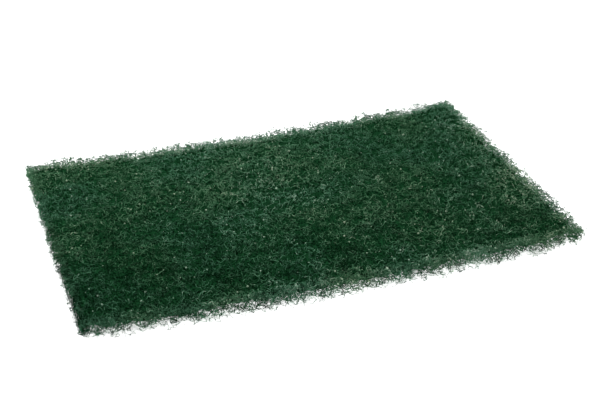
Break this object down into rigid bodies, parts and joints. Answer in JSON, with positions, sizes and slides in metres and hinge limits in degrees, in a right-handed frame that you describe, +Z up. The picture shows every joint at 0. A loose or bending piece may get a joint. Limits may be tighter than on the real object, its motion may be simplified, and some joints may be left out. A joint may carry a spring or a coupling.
{
  "type": "scouring pad",
  "caption": "Flat rectangular scouring pad of coarse green bonded nylon web, its short ends curling slightly, for scrubbing cookware and work surfaces by hand.",
  "frame": {"origin": "on the table under the middle of the pad", "axes": "+X along the pad's length, +Y across its width, +Z up out of its upper face"},
  "size_m": [0.23, 0.14, 0.0102],
  "materials": {
    "web": "dull green resin and abrasive grit bonded onto an open web of crimped nylon fibre"
  },
  "bodies": {
    "root": {"pad": "web"}
  },
  "joints": []
}
